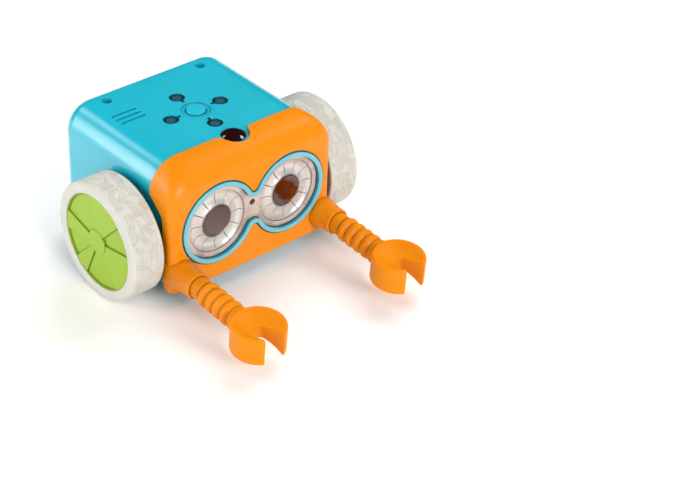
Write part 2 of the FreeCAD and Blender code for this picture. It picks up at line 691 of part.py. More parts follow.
def drive_gear():
    """The wheel's gear; a tooth points at the idler."""
    return spur_gear(WHEEL_TEETH, DRIVE_GEAR_X, GEAR_WIDTH, 0, 0, AXLE_RADIUS)


def idler():
    """A cluster of a small gear that meshes with the wheel's gear and a large one for the motor."""
    bore = SHAFT_RADIUS + RUNNING_GAP
    half_pitch = math.pi / PINION_TEETH
    large = spur_gear(WHEEL_TEETH, IDLER_BIG_X, GEAR_WIDTH, IDLER_Y, 0, bore)
    small_start = IDLER_BIG_X + GEAR_WIDTH
    small_width = OUTER_PLATE_X[0] - 0.3 - small_start
    small = spur_gear(PINION_TEETH, small_start, small_width, IDLER_Y, math.pi - half_pitch, bore)
    return fuse(large, small)


def motor_pinion():
    """The motor's gear; a gap between its teeth faces the idler."""
    phase = math.pi - math.pi / PINION_TEETH
    return spur_gear(PINION_TEETH, IDLER_BIG_X - 0.1, GEAR_WIDTH, MOTOR_Y, phase, SHAFT_RADIUS)


def rotor_shaft():
    return cylinder(SHAFT_RADIUS, 17.4, (24.0, MOTOR_Y, AXLE_Z), X_AXIS)


def idler_pin():
    length = OUTER_PLATE_X[1] - INNER_PLATE_X[0]
    return cylinder(SHAFT_RADIUS, length, (INNER_PLATE_X[0], IDLER_Y, AXLE_Z), X_AXIS)


AXLE_START_X = 34.0
AXLE_END_X = 69.0


def axle():
    return cylinder(AXLE_RADIUS, AXLE_END_X - AXLE_START_X, (AXLE_START_X, 0, AXLE_Z), X_AXIS)


# --- wheels -----------------------------------------------------------------------------

# Sector edges of the hub's relief, in degrees from the front towards the top; every second
# sector is raised, starting with the one after the first edge pair.
HUB_SECTOR_EDGES = [9, 45, 104, 165, 190, 224, 246, 304, 369]
HUB_LOW_X = 71.8
HUB_HIGH_X = 72.6
HUB_CAP_X = 72.8
HUB_EDGE_WIDTH = 0.5
HUB_CAP_RADIUS = 6.9
HUB_BACK_X = 56.0
HUB_WEB_X = 67.4
HUB_RIB_COUNT = 12


def ring(inner_radius, outer_radius, x_start, x_end):
    """A ring about the wheel axis."""
    outside = cylinder(outer_radius, x_end - x_start, (x_start, 0, AXLE_Z), X_AXIS)
    return outside.cut(cylinder(inner_radius, x_end - x_start, (x_start, 0, AXLE_Z), X_AXIS))


def hub():
    """The green wheel centre: a disc with raised sectors, an eight-sided cap and a rim behind."""
    disc_r = TYRE_SIDE_BORE - 0.15

    def on_disc(radius, angle_deg, x):
        angle = math.radians(angle_deg)
        return Vector(x, -radius * math.cos(angle), AXLE_Z + radius * math.sin(angle))

    centre = Vector(HUB_LOW_X, 0, AXLE_Z)
    web_front = HUB_WEB_X + 1.2
    pieces = [cylinder(disc_r, HUB_LOW_X - web_front, (web_front, 0, AXLE_Z), X_AXIS)]
    pieces.append(ring(disc_r - HUB_EDGE_WIDTH, disc_r, HUB_LOW_X - 0.5, HUB_HIGH_X))
    for start, end in zip(HUB_SECTOR_EDGES[1::2], HUB_SECTOR_EDGES[2::2]):
        first, last = on_disc(disc_r, start, HUB_LOW_X), on_disc(disc_r, end, HUB_LOW_X)
        middle = on_disc(disc_r, (start + end) / 2, HUB_LOW_X)
        outline = [Part.Arc(first, middle, last).toShape(),
                   Part.LineSegment(centre, first).toShape(),
                   Part.LineSegment(last, centre).toShape()]
        wedge = Part.Face(Part.Wire(Part.__sortEdges__(outline)))
        pieces.append(wedge.extrude(X_AXIS * (HUB_HIGH_X - HUB_LOW_X)))
    cap_start = HUB_LOW_X - 0.5
    cap_points = [on_disc(HUB_CAP_RADIUS, 22.5 + 45 * corner, cap_start) for corner in range(8)]
    cap = Part.Face(Part.makePolygon(cap_points + cap_points[:1]))
    pieces.append(cap.extrude(X_AXIS * (HUB_CAP_X - cap_start)))
    pieces.append(cylinder(HUB_RIM_RADIUS - 0.1, web_front - HUB_WEB_X, (HUB_WEB_X, 0, AXLE_Z), X_AXIS))
    pieces.append(ring(HUB_RIM_RADIUS - 2.0, HUB_RIM_RADIUS - 0.1, HUB_BACK_X, web_front))
    pieces.append(ring(14.0, 15.2, HUB_BACK_X + 2.5, HUB_WEB_X + 0.6))
    pieces.append(cylinder(4.5, HUB_WEB_X + 0.6 - HUB_BACK_X - 1, (HUB_BACK_X + 1, 0, AXLE_Z), X_AXIS))
    for number in range(HUB_RIB_COUNT):
        rib = box((HUB_BACK_X + 2.5, HUB_WEB_X + 0.6), (4.0, HUB_RIM_RADIUS - 1.0), (-0.6, 0.6))
        rib.rotate(Vector(0, 0, 0), X_AXIS, 360.0 * number / HUB_RIB_COUNT)
        rib.translate(Vector(0, 0, AXLE_Z))
        pieces.append(rib)
    return fuse(*pieces).cut(cylinder(AXLE_RADIUS, AXLE_END_X - HUB_BACK_X, (HUB_BACK_X, 0, AXLE_Z), X_AXIS))


def tyre():
    """The soft tyre ring, with an outer side lip that frames the hub."""
    edge = 1.6
    profile = [(TYRE_INNER_X, HUB_RIM_RADIUS), (TYRE_INNER_X, WHEEL_RADIUS - 0.8),
               (TYRE_INNER_X + 0.8, WHEEL_RADIUS), (TYRE_OUTER_X - edge, WHEEL_RADIUS),
               (TYRE_OUTER_X - edge * 0.3, WHEEL_RADIUS - edge * 0.3), (TYRE_OUTER_X, WHEEL_RADIUS - edge),
               (TYRE_OUTER_X, TYRE_SIDE_BORE), (68.8, TYRE_SIDE_BORE), (68.8, HUB_RIM_RADIUS)]
    return revolved(profile, (0, 0, AXLE_Z), X_AXIS)


# --- headgear and arms ------------------------------------------------------------------

def head_block(inset):
    """The headgear's solid outline, or with inset the space inside it."""
    side = CASE_HALF_WIDTH + HEAD_GAP + HEAD_WALL_SIDE
    half, top = side - inset, CASE_TOP_Z + HEAD_GAP + HEAD_WALL_SIDE - inset
    front = HEAD_FRONT_Y if inset == 0 else CASE_FRONT_Y - 0.3
    corner = CASE_TOP_CORNER + HEAD_GAP + HEAD_WALL_SIDE - inset
    low = -10.0
    corners = [(half, low), (half, top), (-half, top), (-half, low)]
    radii = [HEAD_SIDE_ROUND + 1, corner, corner, HEAD_SIDE_ROUND + 1]
    outline = rounded_outline(corners, radii, lambda x, z: Vector(x, front, z))
    block = outline.extrude(Vector(0, HEAD_SEAM_Y - front, 0))
    top_round, side_round = HEAD_TOP_ROUND - 2 * inset, HEAD_SIDE_ROUND - 1.5 * inset

    def radius_at(point):
        return top_round if point.z > top - 0.5 else side_round

    return end_rounded(block, front, radius_at)


def socket_boss():
    """The shoulder that holds an arm: it widens towards the face and stays flush with its side."""
    profile = [(0, 0), (0, 6.8), (0.4, 7.1), (1.8, 7.1), (4.0, 7.2), (7.0, 7.5), (10.0, 8.0),
               (12.0, 8.2), (13.4, 8.4), (20.0, 8.8), (20.0, 0)]
    cone = revolved(profile, (ARM_X, SOCKET_Y, SOCKET_Z), Y_AXIS)
    outer_x = ARM_X + 7.1
    corners = rectangle((ARM_X - 12, outer_x), (HEAD_BOTTOM_Z, SOCKET_Z + 12))
    limit = rounded_outline(corners, [0, 7.0, 7.0, 0], lambda x, z: Vector(x, SOCKET_Y - 1, z))
    return cone.common(limit.extrude(Vector(0, 24, 0)))


def drooped(shape):
    """Tip a piece down about the arm socket's mouth."""
    tipped = shape.copy()
    tipped.rotate(Vector(0, SOCKET_Y, SOCKET_Z), X_AXIS, ARM_DROOP_DEG)
    return tipped


def headgear():
    """The orange face that snaps over the casing's front, with both arm sockets."""
    outer, inner = head_block(0), head_block(HEAD_WALL_SIDE)
    keep_corners = [(-60, HEAD_BOTTOM_Z), (HEAD_SKIRT_Y, HEAD_BOTTOM_Z), (HEAD_SKIRT_Y, 52.0),
                    (HEAD_SEAM_Y, 61.0), (HEAD_SEAM_Y, 90.0), (-60, 90.0)]
    keep = rounded_outline(keep_corners, [0, 3.0, 6.0, 5.0, 0, 0], lambda y, z: Vector(-70, y, z))
    keep = keep.extrude(X_AXIS * 140)
    notch = fuse(cylinder(NOTCH_RADIUS, 20, (0, DOME_Y, 70)), box((-30, 30), (HEAD_SEAM_Y, 0), (70, 90)))
    corner_edges = []
    for edge in notch.Edges:
        extent = edge.BoundBox
        upright = extent.ZLength > 15
        if upright and abs(abs(extent.XMin) - NOTCH_RADIUS) < 0.3 and abs(extent.YMin - HEAD_SEAM_Y) < 0.01:
            corner_edges.append(edge)
    notch = notch.makeFillet(4.0, corner_edges)
    opening = figure_eight(0.6, SOCKET_Y, CASE_FRONT_Y + 10)
    shell = outer.cut(inner).common(keep)
    bosses = [boss.cut(inner) for boss in (socket_boss(), mirrored(socket_boss()))]
    shell = fuse(shell, *bosses).cut([notch, opening])
    mouth = (ARM_X, SOCKET_Y - 1, SOCKET_Z)
    bore = drooped(cylinder(ARM_NECK_RADIUS + RUNNING_GAP, SOCKET_DEPTH + 1, mouth, Y_AXIS))
    return shell.cut([bore, mirrored(bore)])


def arm():
    """A plug, a ribbed shaft and an open claw, moulded in one piece."""
    neck = ARM_NECK_RADIUS
    first_rib = 5.6
    plug_end = SOCKET_DEPTH - 0.3
    profile = [(plug_end, 0), (plug_end, neck - 0.6), (plug_end - 0.6, neck), (-first_rib, neck)]
    for number in range(ARM_RIB_COUNT):
        start = -first_rib - number * ARM_RIB_PITCH
        profile += [(start - 0.4, ARM_VALLEY_RADIUS), (start - 1.6, ARM_RIB_RADIUS - 0.25),
                    (start - 2.4, ARM_RIB_RADIUS), (start - 3.4, ARM_RIB_RADIUS),
                    (start - 4.2, ARM_RIB_RADIUS - 0.25), (start - ARM_RIB_PITCH + 0.4, ARM_VALLEY_RADIUS)]
    claw_depth = CLAW_CENTRE_Y - SOCKET_Y
    profile += [(claw_depth + 4, neck), (claw_depth + 4, 0)]
    shaft = revolved(profile, (ARM_X, SOCKET_Y, SOCKET_Z), Y_AXIS)
    low, high = SOCKET_Z - CLAW_THICKNESS / 2, SOCKET_Z + CLAW_THICKNESS / 2
    disc = cylinder(CLAW_RADIUS, CLAW_THICKNESS, (ARM_X, CLAW_CENTRE_Y, low))
    disc = disc.makeFillet(1.2, [edge for edge in disc.Edges if edge.BoundBox.ZLength < 0.01])
    dish_r = (CLAW_DISH_RADIUS ** 2 + CLAW_DISH_DEPTH ** 2) / (2 * CLAW_DISH_DEPTH)
    lift = dish_r - CLAW_DISH_DEPTH
    dish = Part.makeSphere(dish_r, Vector(ARM_X, CLAW_CENTRE_Y, high + lift))
    under_dish = Part.makeSphere(dish_r, Vector(ARM_X, CLAW_CENTRE_Y, low - lift))
    claw = fuse(disc, shaft).cut([dish, under_dish])
    root_y = CLAW_CENTRE_Y + 2.4
    mouth_y = CLAW_TIP_Y - 2
    mouth_half, root_half = CLAW_SLOT_HALF + 0.4, 3.4
    corners = [(ARM_X - mouth_half, mouth_y), (ARM_X + mouth_half, mouth_y),
               (ARM_X + root_half, root_y), (ARM_X - root_half, root_y)]
    slot = rounded_outline(corners, [0, 0, 3.0, 3.0], lambda x, y: Vector(x, y, low - 1))
    return drooped(claw.cut(slot.extrude(Vector(0, 0, CLAW_THICKNESS + 2))))


# --- caster -----------------------------------------------------------------------------

def caster_ball():
    return Part.makeSphere(CASTER_RADIUS, Vector(0, CASTER_Y, CASTER_RADIUS))


def caster_retainer():
    """The ring under the floor that keeps the ball in its cup."""
    plate = cylinder(CASTER_RADIUS + 1.7, 1.8, (0, CASTER_Y, CASE_BOTTOM_Z - 1.8))
    return plate.cut(Part.makeSphere(CASTER_RADIUS + 0.06, Vector(0, CASTER_Y, CASTER_RADIUS)))


# --- build and save ---------------------------------------------------------------------

FRONT_REACH_Y = arm().optimalBoundingBox().YMin
ORIGIN_SHIFT = Vector(0, -(CASE_REAR_Y + FRONT_REACH_Y) / 2, 0)


def save(name, *solids):
    """Write one sub-part, moved to the finished part's origin."""
    shape = solids[0].copy() if len(solids) == 1 else Part.makeCompound(list(solids))
    shape.translate(ORIGIN_SHIFT)
    for solid in shape.Solids:
        if not solid.isValid() or solid.Volume <= 0:
            raise ValueError(f"{name} has a bad solid")
    shape.exportStep(os.path.join("parts", f"{name}.step"))
    print(f"{name:26s} solids {len(shape.Solids):2d}  volume {shape.Volume / 1000:8.3f} cm3")


def save_pair(name, right_solid):
    """Write a right-hand piece and its mirror image on the left."""
    save(f"{name}_right", right_solid)
    save(f"{name}_left", mirrored(right_solid))


def main():
    os.makedirs("parts", exist_ok=True)
    shell = casing_shell()
    save("upper_casing", upper_casing(shell))
    save("lower_casing", lower_casing(shell))
    save("eye_bezel", eye_bezel())
    save("eye_lens", eye_lens())
    save("eye_frame", eye_frame())
    save_pair("reflector", reflector())
    save_pair("pupil", pupil())
    save("object_sensor", object_sensor())
    save("signal_dome", signal_dome())
    for side, angle in WINDOW_ANGLES.items():
        save(f"indicator_{side}", indicator(angle))
    save("main_board", main_board())
    save("indicator_leds", *indicator_leds())
    save("go_switch", go_switch())
    save("go_button", go_button())
    save("speaker", speaker())
    save("front_board", front_board())
    save("eye_leds", *eye_leds())
    save("line_sensor", line_sensor())
    save("mode_switch_body", mode_switch_body())
    save("power_slider", power_slider())
    save("battery_cells", *battery_cells())
    save("battery_contacts", *battery_contacts())
    save("battery_door", battery_door())
    save("battery_door_screw", screw(2.3, 1.1, 1.1, 6.5, (0, DOOR_SCREW_Y, CASE_BOTTOM_Z + 0.05)))
    case_screws = [screw(2.6, CASE_SCREW_HEAD, 1.2, 12.0, (x, y, CASE_SCREW_Z)) for x, y in CASE_SCREW_PLACES]
    save("case_screws", *case_screws)
    save("board_screws", *[screw(2.2, 1.2, 1.0, 6.5, (x, y, BOARD_SCREW_Z)) for x, y in BOARD_POST_PLACES])
    save_pair("gearbox_inner", gearbox_inner())
    save_pair("gearbox_outer", gearbox_outer())
    save_pair("motor", motor())
    save_pair("rotor_shaft", rotor_shaft())
    save_pair("motor_pinion", motor_pinion())
    save_pair("idler", idler())
    save_pair("idler_pin", idler_pin())
    save_pair("drive_gear", drive_gear())
    save_pair("axle", axle())
    save_pair("hub", hub())
    save_pair("tyre", tyre())
    save("headgear", headgear())
    save_pair("arm", arm())
    save("caster_ball", caster_ball())
    save("caster_retainer", caster_retainer())


main()
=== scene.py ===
"""Looks of the educational coding robot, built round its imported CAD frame.

Metres, +Z up, the face looks along -Y, right is +X.  The CAD nodes carry the exact shapes and get
their finishes here.  The tyres and the eye bowls are remade with the finer relief that the frame
leaves out, and the dark windows on top get their frosted discs.
"""
import json
import math
import random

import bpy
import numpy as np
from mathutils import Matrix, Vector


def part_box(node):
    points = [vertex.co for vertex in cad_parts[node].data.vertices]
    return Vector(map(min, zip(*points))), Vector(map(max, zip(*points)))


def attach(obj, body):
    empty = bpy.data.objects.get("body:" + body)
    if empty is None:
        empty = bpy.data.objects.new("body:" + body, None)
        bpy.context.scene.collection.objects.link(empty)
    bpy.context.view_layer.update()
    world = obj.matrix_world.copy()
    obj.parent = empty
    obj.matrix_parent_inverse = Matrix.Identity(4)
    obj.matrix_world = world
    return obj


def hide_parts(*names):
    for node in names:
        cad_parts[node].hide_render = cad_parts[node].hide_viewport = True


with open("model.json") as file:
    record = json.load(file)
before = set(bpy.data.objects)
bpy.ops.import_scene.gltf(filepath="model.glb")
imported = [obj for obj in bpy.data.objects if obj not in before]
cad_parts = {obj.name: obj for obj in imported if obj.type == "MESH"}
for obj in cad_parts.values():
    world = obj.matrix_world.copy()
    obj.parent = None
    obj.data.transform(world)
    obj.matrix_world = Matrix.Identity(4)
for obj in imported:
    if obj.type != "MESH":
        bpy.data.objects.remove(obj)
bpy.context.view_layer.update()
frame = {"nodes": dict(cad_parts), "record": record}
NODES = frame["nodes"]
SIDES = {"left": -1, "right": 1}  # the sign of X on each side
MM = 0.001
MICRON = 0.001 * MM


# --- colours ----------------------------------------------------------------------------

def linear(red, green, blue):
    """A display colour (0 to 255) as the linear colour that shaders use, by the sRGB curve."""
    values = []
    for value in (red, green, blue):
        share = value / 255
        values.append(share / 12.92 if share <= 0.04045 else ((share + 0.055) / 1.055) ** 2.4)
    return values


def shade(color, factor):
    """A colour made darker or lighter."""
    return [min(1.0, value * factor) for value in color]


# --- procedural materials ---------------------------------------------------------------

class Finish:
    """One material: a Principled shader with a few procedural helpers, all in object space."""

    RECESS_SHADE_SAMPLES = 8
    EDGE_SAMPLES = 6
    SMOOTHEST = 0.02

    def __init__(self, name, color, roughness=0.4, metallic=0.0, **sockets):
        self.material = bpy.data.materials.new(name)
        self.material.use_nodes = True
        self.tree = self.material.node_tree
        self.shader = self.tree.nodes["Principled BSDF"]
        self.color = color
        self.roughness = roughness
        self.place = self.node("ShaderNodeTexCoord").outputs["Object"]
        self.set("Base Color", [*color, 1.0])
        self.set("Roughness", roughness)
        self.set("Metallic", metallic)
        for socket, value in sockets.items():
            self.set(socket.replace("_", " "), value)

    def node(self, kind, **settings):
        made = self.tree.nodes.new(kind)
        for name, value in settings.items():
            setattr(made, name, value)
        return made

    def set(self, socket, value):
        self.shader.inputs[socket].default_value = value

    def link(self, output, socket):
        self.tree.links.new(output, socket)

    def noise(self, scale, detail=2.0, stretch=(1, 1, 1)):
        """Noise with features about 1/scale metres across."""
        mapping = self.node("ShaderNodeMapping")
        mapping.inputs["Scale"].default_value = stretch
        self.link(self.place, mapping.inputs["Vector"])
        noise = self.node("ShaderNodeTexNoise")
        noise.inputs["Scale"].default_value = scale
        noise.inputs["Detail"].default_value = detail
        self.link(mapping.outputs["Vector"], noise.inputs["Vector"])
        return noise.outputs["Fac"]

    def remap(self, value, low, high, start=0.0, end=1.0):
        """Low where the value is at start or before it, high at end or past it, even in between."""
        span = self.node("ShaderNodeMapRange")
        span.inputs["From Min"].default_value = start
        span.inputs["From Max"].default_value = end
        span.inputs["To Min"].default_value = low
        span.inputs["To Max"].default_value = high
        self.link(value, span.inputs["Value"])
        return span.outputs["Result"]

    def blend(self, value, colors, positions=(0.0, 1.0)):
        """The base colour runs from the first to the second as the value goes between positions."""
        ramp = self.node("ShaderNodeValToRGB")
        for element, position, color in zip(ramp.color_ramp.elements, positions, colors):
            element.position = position
            element.color = [*color, 1.0]
        self.link(value, ramp.inputs["Fac"])
        self.link(ramp.outputs["Color"], self.shader.inputs["Base Color"])
        return self

    def mottle(self, scale, spread, detail=3.0):
        """The pigment varies a little, darker and lighter round the base colour."""
        tones = shade(self.color, 1 - spread), shade(self.color, 1 + spread)
        return self.blend(self.noise(scale, detail), tones, positions=(0.3, 0.7))

    def paint_recess_shade(self, reach):
        """Painted shade: gaps and creases narrower than reach (metres) get a darker colour, as shade
        makes them.

        It darkens the colour that mottle or blend has linked before it.
        """
        recess_shade_node = self.node("ShaderNodeAmbientOcclusion", samples=self.RECESS_SHADE_SAMPLES)
        recess_shade_node.inputs["Distance"].default_value = reach
        base = self.shader.inputs["Base Color"]
        self.link(base.links[0].from_socket, recess_shade_node.inputs["Color"])
        self.link(recess_shade_node.outputs["Color"], base)
        return self

    def smudge(self, scale, spread):
        """Handling leaves the gloss slightly uneven."""
        low = max(self.SMOOTHEST, self.roughness - spread)
        high = min(1.0, self.roughness + spread)
        uneven = self.remap(self.noise(scale, detail=4.0), low, high)
        self.link(uneven, self.shader.inputs["Roughness"])
        return self

    def grain(self, scale, depth, detail=2.0, edge=0.0, stretch=(1, 1, 1)):
        """A moulded or ground surface texture, depth in metres; edge softens sharp corners."""
        bump = self.node("ShaderNodeBump")
        bump.inputs["Distance"].default_value = depth
        bump.inputs["Strength"].default_value = 1.0
        self.link(self.noise(scale, detail, stretch), bump.inputs["Height"])
        if edge:
            bevel = self.node("ShaderNodeBevel", samples=self.EDGE_SAMPLES)
            bevel.inputs["Radius"].default_value = edge
            self.link(bevel.outputs["Normal"], bump.inputs["Normal"])
        self.link(bump.outputs["Normal"], self.shader.inputs["Normal"])
        return self


def moulded(name, color, roughness=0.38, grain=12 * MICRON, edge=0.25 * MM, gloss=0.5, **sockets):
    """Injection-moulded plastic: fine spark texture, faint flow marks, softened edges, and painted
    shade in narrow gaps.
    """
    finish = Finish(name, color, roughness, Specular_IOR_Level=gloss, **sockets)
    # The recess step paints shade into gaps and creases under 1.2 mm across.
    finish.mottle(scale=35.0, spread=0.025).paint_recess_shade(1.2 * MM)
    finish.smudge(scale=70.0, spread=0.05).grain(scale=2600.0, depth=grain, edge=edge)
    return finish.material


def metal(name, color, roughness, stretch=(1, 1, 1), depth=8 * MICRON):
    """Bare metal; a stretch below 1 draws its marks out along that axis, as rolling does."""
    finish = Finish(name, color, roughness, metallic=1.0)
    finish.mottle(scale=300.0, spread=0.08).smudge(scale=500.0, spread=0.1)
    finish.grain(scale=900.0, depth=depth, detail=3.0, edge=0.1 * MM, stretch=stretch)
    return finish.material


CASING_BLUE = linear(20, 170, 191)
HEADGEAR_ORANGE = linear(220, 128, 3)
ARM_ORANGE = linear(214, 129, 8)


def casing_blue():
    return moulded("casing_blue", CASING_BLUE, 0.24, grain=8 * MICRON, gloss=1.0)


def base_blue():
    return moulded("base_blue", shade(CASING_BLUE, 0.75), 0.45, grain=20 * MICRON)


def button_blue():
    return moulded("button_blue", shade(CASING_BLUE, 1.04), 0.3, grain=6 * MICRON)


def bezel_blue():
    """The rim's front keeps its pale blue; its walls are painted deep blue as painted shade."""
    pale, wall_shade_blue = linear(104, 176, 190), linear(8, 134, 158)
    rim_depth, wall_shade_depth = 0.2 * MM, 0.6 * MM
    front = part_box("eye_bezel")[0].y
    finish = Finish("bezel_blue", pale, 0.25, Specular_IOR_Level=0.6)
    split = finish.node("ShaderNodeSeparateXYZ")
    finish.link(finish.place, split.inputs["Vector"])
    # Painted shade: the colour turns from pale to deep blue going back from the rim's front, and the
    # recess step paints shade into its gaps.
    back = finish.remap(split.outputs["Y"], 0.0, 1.0, start=front + rim_depth, end=front + wall_shade_depth)
    finish.blend(back, (pale, wall_shade_blue)).paint_recess_shade(0.3 * MM)
    finish.smudge(scale=70.0, spread=0.05).grain(scale=2600.0, depth=6 * MICRON, edge=0.2 * MM)
    return finish.material


def headgear_orange():
    return moulded("headgear_orange", HEADGEAR_ORANGE, 0.36, grain=10 * MICRON, gloss=0.25,
                   Subsurface_Weight=0.3, Subsurface_Radius=(1.0, 0.3, 0.04),
                   Subsurface_Scale=3 * MM)


def arm_orange():
    return moulded("arm_orange", ARM_ORANGE, 0.42, grain=15 * MICRON, gloss=0.15,
                   Subsurface_Weight=0.6, Subsurface_Radius=(1.0, 0.35, 0.05),
                   Subsurface_Scale=5 * MM)


def tyre_grey():
    """Soft elastomer: matt, with a fine pitted skin and painted shade in its recesses."""
    finish = Finish("tyre_grey", linear(194, 192, 183), 0.6)
    finish.mottle(scale=120.0, spread=0.05, detail=4.0).paint_recess_shade(0.3 * MM)
    finish.smudge(scale=200.0, spread=0.06).grain(scale=3200.0, depth=20 * MICRON, detail=3.0)
    return finish.material


def hub_green():
    return moulded("hub_green", linear(140, 173, 22), 0.4, grain=10 * MICRON, edge=0.2 * MM)


def lens_clear():
    """A thin clear cover: see-through, with a faint mirror of the room that grows at a slant."""
    finish = Finish("lens_clear", linear(255, 255, 255))
    clear = finish.node("ShaderNodeBsdfTransparent")
    mirror = finish.node("ShaderNodeBsdfGlossy")
    slant = finish.node("ShaderNodeLayerWeight")
    slant.inputs["Blend"].default_value = 0.2
    mix = finish.node("ShaderNodeMixShader")
    mirror_roughness = finish.remap(finish.noise(scale=140.0), 0.02, 0.07)
    mirror_share = finish.remap(slant.outputs["Facing"], 0.0, 0.12)
    finish.link(mirror_roughness, mirror.inputs["Roughness"])
    finish.link(mirror_share, mix.inputs["Fac"])
    finish.link(clear.outputs["BSDF"], mix.inputs[1])
    finish.link(mirror.outputs["BSDF"], mix.inputs[2])
    finish.link(mix.outputs["Shader"], finish.tree.nodes["Material Output"].inputs["Surface"])
    finish.tree.nodes.remove(finish.shader)
    return finish.material


def eye_frame_white():
    """Milky plastic; it gets no painted recess shade, which would count the clear cover as a wall in
    front.
    """
    finish = Finish("eye_frame_white", linear(194, 176, 164), 0.34)
    finish.mottle(scale=35.0, spread=0.025)
    finish.smudge(scale=70.0, spread=0.05).grain(scale=2600.0, depth=6 * MICRON, edge=0.2 * MM)
    return finish.material


def reflector_silver():
    """Pearl silver paint over plastic, with fine metal flakes and painted shade in its creases."""
    finish = Finish("reflector_silver", linear(208, 203, 199), 0.3, metallic=0.4)
    finish.mottle(scale=1800.0, spread=0.04, detail=2.0).paint_recess_shade(0.8 * MM)
    finish.smudge(scale=260.0, spread=0.08).grain(scale=2400.0, depth=10 * MICRON)
    return finish.material


def pupil_smoke():
    finish = Finish("pupil_smoke", linear(60, 18, 8), 0.1, Coat_Weight=0.6, Coat_Roughness=0.04)
    finish.mottle(scale=140.0, spread=0.2).smudge(scale=150.0, spread=0.04)
    finish.grain(scale=400.0, depth=4 * MICRON, detail=1.0, edge=0.2 * MM)
    return finish.material


def signal_smoke():
    finish = Finish("signal_smoke", linear(34, 12, 12), 0.1, Coat_Weight=1.0, Coat_Roughness=0.03)
    finish.mottle(scale=200.0, spread=0.25, detail=2.0).smudge(scale=120.0, spread=0.03)
    finish.grain(scale=500.0, depth=3 * MICRON, detail=1.0, edge=0.2 * MM)
    return finish.material


def indicator_smoke():
    finish = Finish("indicator_smoke", linear(6, 48, 58), 0.28, Coat_Weight=0.3, Coat_Roughness=0.1)
    finish.mottle(scale=420.0, spread=0.22).smudge(scale=260.0, spread=0.06)
    finish.grain(scale=1500.0, depth=10 * MICRON, edge=0.1 * MM)
    return finish.material


def indicator_diffuser():
    """The frosted disc in the middle of each dark window."""
    finish = Finish("indicator_diffuser", linear(28, 78, 90), 0.5)
    finish.mottle(scale=1900.0, spread=0.4, detail=2.0).smudge(scale=600.0, spread=0.1)
    finish.grain(scale=1700.0, depth=30 * MICRON, detail=1.0)
    return finish.material


def board_green():
    """Solder mask over copper: darker and lighter areas a few millimetres across."""
    finish = Finish("board_green", linear(12, 92, 52), 0.3)
    finish.mottle(scale=260.0, spread=0.3, detail=0.0).smudge(scale=300.0, spread=0.08)
    finish.grain(scale=500.0, depth=40 * MICRON, detail=0.0, edge=0.1 * MM)
    return finish.material


def black_part(name, roughness=0.45):
    return moulded(name, linear(30, 30, 31), roughness, grain=10 * MICRON, edge=0.2 * MM)


def led_white():
    return moulded("led_white", linear(236, 234, 220), 0.2, grain=4 * MICRON)


def gear_white():
    return moulded("gear_white", linear(226, 222, 206), 0.42, Subsurface_Weight=0.2,
                   Subsurface_Scale=1 * MM)


def gearbox_grey():
    return moulded("gearbox_grey", linear(132, 136, 140), 0.5)


FINISHES = {
    "casing_blue": casing_blue, "base_blue": base_blue, "bezel_blue": bezel_blue,
    "button_blue": button_blue, "headgear_orange": headgear_orange, "arm_orange": arm_orange,
    "tyre_grey": tyre_grey, "hub_green": hub_green, "lens_clear": lens_clear,
    "eye_frame_white": eye_frame_white, "reflector_silver": reflector_silver,
    "pupil_smoke": pupil_smoke, "signal_smoke": signal_smoke, "indicator_smoke": indicator_smoke,
    "board_green": board_green, "component_black": lambda: black_part("component_black"),
    "led_white": led_white, "switch_black": lambda: black_part("switch_black", 0.55),
    "speaker_black": lambda: black_part("speaker_black", 0.6), "gear_white": gear_white,
    "gearbox_grey": gearbox_grey,
    "motor_can": lambda: metal("motor_can", linear(196, 196, 192), 0.32, stretch=(0.05, 1, 1)),
    "steel": lambda: metal("steel", linear(200, 200, 202), 0.22, stretch=(0.02, 1, 1)),
    "screw_steel": lambda: metal("screw_steel", linear(150, 150, 154), 0.35),
    "cell_wrap": lambda: moulded("cell_wrap", linear(52, 54, 58), 0.3),
    "contact_metal": lambda: metal("contact_metal", linear(214, 210, 196), 0.25),
    "caster_steel": lambda: metal("caster_steel", linear(206, 206, 208), 0.12, depth=2 * MICRON),
}
MATERIALS = {slot: make() for slot, make in FINISHES.items()}
DIFFUSER = indicator_diffuser()


def dress_nodes():
    """Give every CAD node the finish of its slot."""
    for part in frame["record"]["subparts"]:
        node = NODES[part["node"]]
        node.data.materials.clear()
        node.data.materials.append(MATERIALS[part["material_slot"]])


# --- mesh pieces ------------------------------------------------------------------------

def grid_piece(name, points, material, closed_rows=False, closed_columns=False):
    """A smooth mesh from a grid of points, rows by columns; closed directions wrap round."""
    rows, columns = points.shape[:2]
    faces = []
    for row in range(rows if closed_rows else rows - 1):
        next_row = (row + 1) % rows
        for column in range(columns if closed_columns else columns - 1):
            next_column = (column + 1) % columns
            faces.append((row * columns + column, row * columns + next_column,
                          next_row * columns + next_column, next_row * columns + column))
    mesh = bpy.data.meshes.new(name)
    mesh.from_pydata(points.reshape(-1, 3).tolist(), [], faces)
    mesh.validate()
    mesh.materials.append(material)
    mesh.shade_smooth()
    piece = bpy.data.objects.new(name, mesh)
    bpy.context.scene.collection.objects.link(piece)
    return piece


def round_grid(centre, rings, steps, place):
    """Grid points round a centre, steps by rings; place(ring, angles) gives a ring's offsets."""
    angles = np.linspace(0, 2 * math.pi, steps, endpoint=False)
    points = np.empty((steps, rings, 3))
    for ring in range(rings):
        points[:, ring] = place(ring, angles)
    return points + np.array(centre)


def smoothstep(low, high, values):
    """0 up to low, 1 from high on, and a curve without corners in between."""
    share = np.clip((values - low) / (high - low), 0, 1)
    return share * share * (3 - 2 * share)


# --- tyres ------------------------------------------------------------------------------

